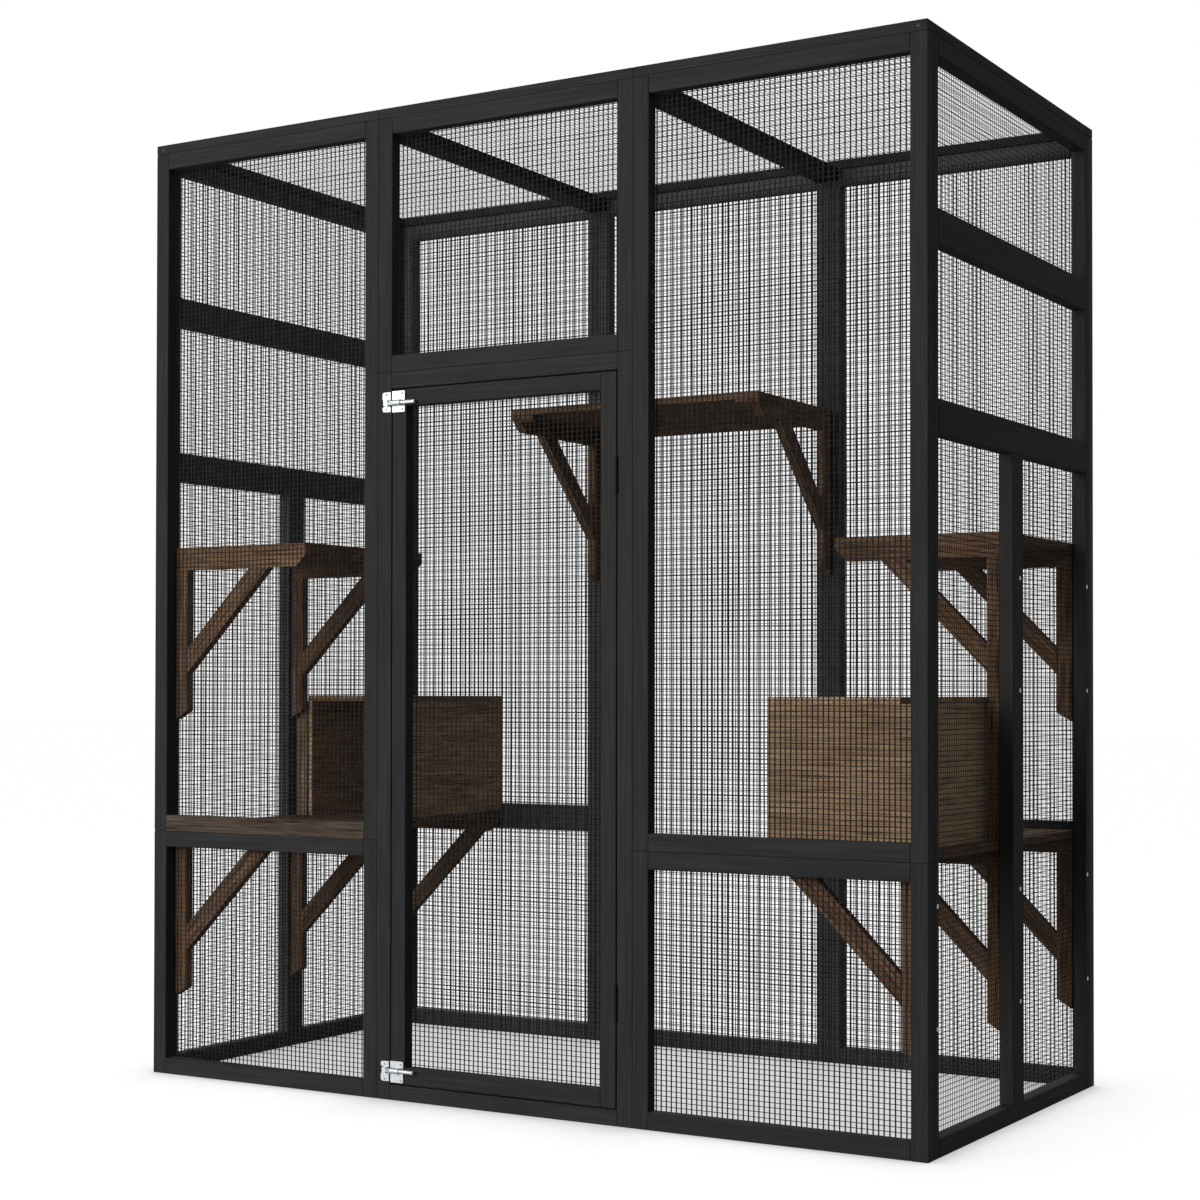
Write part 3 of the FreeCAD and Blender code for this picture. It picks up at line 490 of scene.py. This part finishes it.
def finish_of(name, shader):
    """A material with a principled shader that holds the given values."""
    material = bpy.data.materials.new(name)
    material.use_nodes = True
    tree = material.node_tree
    tree.nodes.clear()
    surface = add(tree, "ShaderNodeBsdfPrincipled", shader)
    add(tree, "ShaderNodeOutputMaterial", {"Surface": surface.outputs["BSDF"]})
    return material, tree, surface


def along_grain(tree, size, detail, distortion=0.0):
    """Noise drawn out along the grain, with marks about as long and wide as the given size."""
    long, wide = size
    place = add(tree, "ShaderNodeAttribute", attribute_name="grain")
    scaled = add(tree, "ShaderNodeMapping", {
        "Vector": place.outputs["Vector"],
        "Scale": (1 / long, 1 / wide, 1 / wide),
    })
    noise = add(tree, "ShaderNodeTexNoise", {
        "Vector": scaled.outputs["Vector"],
        "Scale": 1.0,
        "Detail": detail,
        "Roughness": NOISE_ROUGHNESS,
        "Distortion": distortion,
    })
    return noise.outputs["Fac"]


def brown_fir(name, colours):
    """Fir stained brown: soft early wood takes more stain than the hard late wood, so the grain
    stands out as long dark streaks with thin drying cracks; the surface is sawn and matt."""
    material, tree, surface = finish_of(name, {
        "Roughness": 0.8, "IOR": WOOD_IOR, "Specular IOR Level": FAINT_GLOSS})
    tone = add(tree, "ShaderNodeAttribute", attribute_name="tone")
    streaks = along_grain(tree, STREAK_SIZE, detail=4.0, distortion=0.5)
    bands = along_grain(tree, BAND_SIZE, detail=2.0, distortion=0.8)
    mixed = add(tree, "ShaderNodeMath", {
        0: bands, 1: BAND_WEIGHT, 2: streaks}, operation="MULTIPLY_ADD")
    toned = add(tree, "ShaderNodeMath", {
        0: tone.outputs["Fac"], 1: STAIN_TONE, 2: mixed.outputs[0]}, operation="MULTIPLY_ADD")
    colour = add(tree, "ShaderNodeValToRGB", {
        "Fac": toned.outputs[0]}, list(zip(STAIN_STOPS, colours)))
    cracks = along_grain(tree, CRACK_SIZE, detail=1.0, distortion=0.3)
    dark = add(tree, "ShaderNodeMapRange", {
        "Value": cracks,
        "From Min": CRACK_START,
        "From Max": CRACK_END,
        "To Min": CRACK_SHADE,
        "To Max": 1.0,
    })
    shaded = add(tree, "ShaderNodeMix", {
        MIX_SHARE: 1.0, MIX_FIRST: colour.outputs["Color"], MIX_SECOND: dark.outputs[0],
    }, data_type="RGBA", blend_type="MULTIPLY")
    tree.links.new(shaded.outputs[MIX_COLOUR], surface.inputs["Base Color"])
    height = add(tree, "ShaderNodeMath", {0: streaks, 1: dark.outputs[0]}, operation="ADD")
    strength, depth = SAWN_RELIEF
    relief = add(tree, "ShaderNodeBump", {
        "Height": height.outputs[0], "Strength": strength, "Distance": depth})
    tree.links.new(relief.outputs["Normal"], surface.inputs["Normal"])
    return material


def charcoal_fir(name, colours):
    """Fir with a thin charcoal paint: almost even in colour, with the grain just telegraphing
    through as fine relief and a slight change of tone from batten to batten."""
    material, tree, surface = finish_of(name, {
        "Roughness": 0.7, "IOR": WOOD_IOR, "Specular IOR Level": FAINT_GLOSS})
    tone = add(tree, "ShaderNodeAttribute", attribute_name="tone")
    streaks = along_grain(tree, PAINT_STREAK_SIZE, detail=4.0, distortion=0.3)
    patches = along_grain(tree, PAINT_PATCH_SIZE, detail=3.0)
    mixed = add(tree, "ShaderNodeMath", {
        0: patches, 1: PATCH_WEIGHT, 2: streaks}, operation="MULTIPLY_ADD")
    toned = add(tree, "ShaderNodeMath", {
        0: tone.outputs["Fac"], 1: PAINT_TONE, 2: mixed.outputs[0]}, operation="MULTIPLY_ADD")
    colour = add(tree, "ShaderNodeValToRGB", {
        "Fac": toned.outputs[0]}, list(zip(PAINT_STOPS, colours)))
    tree.links.new(colour.outputs["Color"], surface.inputs["Base Color"])
    strength, depth = PAINTED_RELIEF
    relief = add(tree, "ShaderNodeBump", {
        "Height": streaks, "Strength": strength, "Distance": depth})
    tree.links.new(relief.outputs["Normal"], surface.inputs["Normal"])
    return material


def coated_wire(name, colours):
    """Welded steel wire dipped in a black coating: dark and matt, and uneven where it ran."""
    material, tree, surface = finish_of(name, {
        "Roughness": 0.6, "IOR": COATING_IOR, "Specular IOR Level": FAINT_GLOSS})
    place = add(tree, "ShaderNodeTexCoord")
    noise = add(tree, "ShaderNodeTexNoise", {
        "Vector": place.outputs["Object"], "Scale": 1 / WIRE_BLOTCH, "Detail": 2.0})
    colour = add(tree, "ShaderNodeValToRGB", {
        "Fac": noise.outputs["Fac"]}, list(zip(WIRE_STOPS, colours)))
    tree.links.new(colour.outputs["Color"], surface.inputs["Base Color"])
    return material


def metal(name, colours, roughness, metallic, gloss=0.5):
    """A worn, painted or plated metal: fine blotches change its colour and how matt it is."""
    material, tree, surface = finish_of(name, {
        "Metallic": metallic, "Specular IOR Level": gloss})
    place = add(tree, "ShaderNodeTexCoord")
    noise = add(tree, "ShaderNodeTexNoise", {
        "Vector": place.outputs["Object"], "Scale": 1 / METAL_BLOTCH, "Detail": 4.0})
    colour = add(tree, "ShaderNodeValToRGB", {
        "Fac": noise.outputs["Fac"]}, list(zip(METAL_STOPS, colours)))
    tree.links.new(colour.outputs["Color"], surface.inputs["Base Color"])
    matt = add(tree, "ShaderNodeMapRange", {
        "Value": noise.outputs["Fac"],
        "To Min": roughness - WORN_ROUGHNESS,
        "To Max": roughness + WORN_ROUGHNESS,
    })
    tree.links.new(matt.outputs[0], surface.inputs["Roughness"])
    return material


# Battens brushed with charcoal paint: matt and nearly even in colour. The bearers under the roof
# are darker, as painted shade, and the left wall and the back wall lighter, as painted light
charcoal = charcoal_fir("painted_fir_charcoal", ("#282828", "#303030", "#363636"))
shaded_charcoal = charcoal_fir("painted_fir_black", ("#161616", "#1B1B1B", "#202020"))
charcoal_painted_light = charcoal_fir("faded_fir_charcoal", ("#3D3D3D", "#474747", "#4F4F4F"))

# Sawn boards brushed with brown stain: the more they took, the darker they look; the one brown
# rail of the front is weathered to grey, and the boards of the nest boxes are lighter as painted
# light
brown = brown_fir("stained_fir_brown", ("#382A1E", "#5F4A39", "#786049", "#978065"))
dark_brown = brown_fir("stained_fir_dark", ("#2C1F15", "#4C392A", "#624B39", "#7E6650"))
grey_brown = brown_fir("weathered_fir_brown", ("#292623", "#403831", "#4C4239", "#62564C"))
brown_painted_light = brown_fir("stained_fir_light", ("#483627", "#79604B", "#997C60", "#BB9F80"))

# Welded wire in a black coating: thin dark lines without a shine
wire = coated_wire("coated_wire_black", ("#1B1B1B", "#292929"))

# Hinges of stamped iron under black paint: the paint hides the metal, so only its faint gloss shows
iron = metal(
    "painted_iron_black", ("#0E0E0E", "#181818"), roughness=0.5, metallic=0.0, gloss=0.1)

# Latches of stamped steel, zinc plated: a pale metal with a soft shine; the screws are duller, and
# those that join the panels and the roof are blackened, so that they don't stand out
zinc = metal("zinc_plated_steel", ("#A2A5A7", "#BDC0C2"), roughness=0.42, metallic=1.0)
screw_zinc = metal("zinc_plated_screw", ("#7D8083", "#A6A9AC"), roughness=0.38, metallic=1.0)
screw_black = metal("blackened_screw", ("#2A2B2C", "#47484A"), roughness=0.40, metallic=1.0)


# The pieces

CHARCOAL_NODES = [
    "front_left_upper_frame", "front_left_lower_frame", "front_right_upper_frame",
    "front_right_lower_frame", "door_surround_frame", "transom_frame", "door_frame",
    "right_wall_frame", "roof_frame_left", "roof_frame_centre", "roof_frame_right",
]
# Painted light: the frames of the left wall and the back wall in a lighter charcoal
PAINTED_LIGHT_WALL_NODES = ["left_wall_frame", "back_wall_frame"]
DARK_BROWN_NODES = [
    "left_lower_deck", "right_lower_deck", "left_middle_deck", "right_middle_deck",
    "high_back_deck", "high_back_ledger",
]
BROWN_NODES = [
    "left_box_roof_board", "left_box_front_strip", "right_box_end_board", "right_box_front_strip",
]
PAINTED_LIGHT_BROWN_NODES = [
    "left_box_sides", "left_box_end_board", "right_box_sides", "right_box_roof_board",
]
SIDE_BRACKET_NODES = [
    "left_lower_brackets", "right_lower_brackets", "left_middle_brackets", "right_middle_brackets",
]
NET_NODES = [name for name in sorted(frame["nodes"]) if name.endswith("_net")]
METAL_NODES = {
    "hinge_frame_leaves": iron, "hinge_door_leaves": iron, "hinge_pins": iron,
    "latch_plates": zinc, "upper_bolt": zinc, "lower_bolt": zinc, "latch_keepers": zinc,
}
DARK_SCREWS = {"panel_screws": screw_black, "roof_screws": screw_black}
SCREW_NODES = [name for name in sorted(frame["nodes"]) if name.endswith("_screws")]

WOODEN_NODES = (
    (CHARCOAL_NODES, charcoal, "charcoal_wood", EASE, None),
    (["roof_bearers"], shaded_charcoal, "charcoal_wood", EASE, None),
    (PAINTED_LIGHT_WALL_NODES, charcoal_painted_light, "charcoal_wood", EASE, None),
    (DARK_BROWN_NODES, dark_brown, "brown_wood", BOARD_EASE, None),
    (BROWN_NODES, brown, "brown_wood", BOARD_EASE, None),
    (PAINTED_LIGHT_BROWN_NODES, brown_painted_light, "brown_wood", BOARD_EASE, None),
    (["front_left_brown_rail"], grey_brown, "brown_wood", BOARD_EASE, None),
    (SIDE_BRACKET_NODES, dark_brown, "brown_wood", BOARD_EASE, Y_AXIS),
    (["high_back_brackets"], dark_brown, "brown_wood", BOARD_EASE, X_AXIS),
)

for names, material, slot, ease, axis in WOODEN_NODES:
    for name in names:
        wooden(name, material, ease, axis)
for name in NET_NODES:
    net(name, wire)
for name in SCREW_NODES:
    screws(name, DARK_SCREWS.get(name, screw_zinc))
for name, material in METAL_NODES.items():
    part = frame["nodes"][name]
    part.data.materials.clear()
    part.data.materials.append(material)


# Camera

def photograph_camera():
    """A camera with the picture's own place, direction, lens and small shift."""
    lens = bpy.data.cameras.new("camera")
    camera = bpy.data.objects.new("camera", lens)
    bpy.context.scene.collection.objects.link(camera)
    lens.sensor_width = SENSOR_WIDE
    lens.lens = FOCAL_PIXELS / IMAGE_SIZE * SENSOR_WIDE
    lens.shift_x = (IMAGE_SIZE / 2 - CENTRE_PIXEL[0]) / IMAGE_SIZE
    lens.shift_y = (CENTRE_PIXEL[1] - IMAGE_SIZE / 2) / IMAGE_SIZE
    lens.clip_end = CAMERA_REACH
    flat = math.cos(CAMERA_ELEVATION)
    ahead = Vector((
        -math.sin(CAMERA_AZIMUTH) * flat,
        math.cos(CAMERA_AZIMUTH) * flat,
        math.sin(CAMERA_ELEVATION),
    ))
    camera.rotation_mode = "QUATERNION"
    camera.location = CAMERA_PLACE
    camera.rotation_quaternion = Quaternion(ahead, CAMERA_ROLL) @ ahead.to_track_quat("-Z", "Y")
    bpy.context.scene.camera = camera


# Room: a pale floor, a white backdrop and soft lamps

def lamp(name, place, aim, size, power):
    """A square soft lamp at a place, turned towards a point."""
    light = bpy.data.lights.new(name, "AREA")
    light.size = size
    light.energy = power
    holder = bpy.data.objects.new(name, light)
    bpy.context.scene.collection.objects.link(holder)
    holder.location = place
    holder.rotation_mode = "QUATERNION"
    holder.rotation_quaternion = (Vector(aim) - Vector(place)).to_track_quat("-Z", "Y")


def seen_rays(tree):
    """1 for rays that come straight from the camera, or by way of gloss or glass."""
    path = add(tree, "ShaderNodeLightPath")
    first = add(tree, "ShaderNodeMath", {
        0: path.outputs["Is Camera Ray"], 1: path.outputs["Is Glossy Ray"]}, operation="MAXIMUM")
    seen = add(tree, "ShaderNodeMath", {
        0: first.outputs[0], 1: path.outputs["Is Transmission Ray"]}, operation="MAXIMUM")
    return seen.outputs[0]


# The floor: its half width, its colour in the light, and its own white
FLOOR_HALF = 40.0
FLOOR_COLOUR = "#707070"
FLOOR_GLOW = 0.95

# Painted shade near the rails, soft, from fully dark to none, as shares of open sky over the floor
SHADE_REACH = 0.5
SHADE_SAMPLES = 8
SHADE_FROM = 0.4
SHADE_TO = 0.95
SHADE_DARK = 0.45

# Painted shade on the ground inside the nets, as far as the middle line of the side rails
ROOM_SHADE = 0.67
ROOM_EDGE_SHARE = 0.93
side_low, side_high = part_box("right_wall_frame")
MIDDLE_Y = (side_low[1] + side_high[1]) / 2
HALF_DEPTH = (side_high[1] - side_low[1]) / 2
HALF_WIDTH = side_high[0]

# Lamps: one large soft one at the left front, one behind, and an even light from all round
AMBIENT = 0.27
KEY_PLACE = (-1.6, -5.6, 2.0)
KEY_SIZE = 4.0
KEY_POWER = 300.0
BACK_PLACE = (-1.8, 5.2, 3.4)
BACK_SIZE = 3.0
BACK_POWER = 110.0
AIM = (0.0, 0.0, 1.0)


def pale_floor():
    """A wide flat floor that looks white and keeps the object's shadow, with painted shade in its
    glow:
    soft near the rails, and a little darker on the ground that the four nets enclose."""
    corners = np.array([(x, y, 0.0) for x, y in ((-1, -1), (1, -1), (1, 1), (-1, 1))]) * FLOOR_HALF
    material = bpy.data.materials.new("pale_floor")
    material.use_nodes = True
    tree = material.node_tree
    tree.nodes.clear()
    matt = add(tree, "ShaderNodeBsdfDiffuse", {"Color": linear(FLOOR_COLOUR)})
    near = add(tree, "ShaderNodeAmbientOcclusion", {
        "Distance": SHADE_REACH}, samples=SHADE_SAMPLES)
    shade = add(tree, "ShaderNodeMapRange", {
        "Value": near.outputs["AO"],
        "From Min": SHADE_FROM,
        "From Max": SHADE_TO,
        "To Min": SHADE_DARK,
        "To Max": FLOOR_GLOW,
    })
    place = add(tree, "ShaderNodeTexCoord")
    centred = add(tree, "ShaderNodeMapping", {
        "Vector": place.outputs["Object"],
        "Location": (0.0, -MIDDLE_Y / HALF_DEPTH, 0.0),
        "Scale": (1 / HALF_WIDTH, 1 / HALF_DEPTH, 1.0),
    })
    share = add(tree, "ShaderNodeVectorMath", {0: centred.outputs["Vector"]}, operation="ABSOLUTE")
    parts = add(tree, "ShaderNodeSeparateXYZ", {"Vector": share.outputs["Vector"]})
    edge = add(tree, "ShaderNodeMath", {
        0: parts.outputs["X"], 1: parts.outputs["Y"]}, operation="MAXIMUM")
    inside = add(tree, "ShaderNodeMapRange", {
        "Value": edge.outputs[0],
        "From Min": ROOM_EDGE_SHARE,
        "From Max": 1.0,
        "To Min": ROOM_SHADE,
        "To Max": 1.0,
    })
    shaded = add(tree, "ShaderNodeMath", {
        0: shade.outputs[0], 1: inside.outputs[0]}, operation="MULTIPLY")
    strength = add(tree, "ShaderNodeMath", {
        0: seen_rays(tree), 1: shaded.outputs[0]}, operation="MULTIPLY")
    glow = add(tree, "ShaderNodeEmission", {"Strength": strength.outputs[0]})
    both = add(tree, "ShaderNodeAddShader", {0: matt.outputs[0], 1: glow.outputs[0]})
    add(tree, "ShaderNodeOutputMaterial", {"Surface": both.outputs[0]})
    put_mesh("floor", corners, [[0, 1, 2, 3]], material)


def white_room():
    """A world that is white where it is seen and a soft even light elsewhere."""
    world = bpy.data.worlds.new("white_room")
    bpy.context.scene.world = world
    world.use_nodes = True
    tree = world.node_tree
    tree.nodes.clear()
    strength = add(tree, "ShaderNodeMapRange", {
        "Value": seen_rays(tree), "To Min": AMBIENT, "To Max": 1.0})
    back = add(tree, "ShaderNodeBackground", {
        "Color": linear("#FFFFFF"), "Strength": strength.outputs[0]})
    add(tree, "ShaderNodeOutputWorld", {"Surface": back.outputs[0]})


photograph_camera()
pale_floor()
white_room()
lamp("key_lamp", KEY_PLACE, AIM, KEY_SIZE, KEY_POWER)
lamp("back_lamp", BACK_PLACE, AIM, BACK_SIZE, BACK_POWER)
bpy.context.scene.view_settings.view_transform = "Standard"
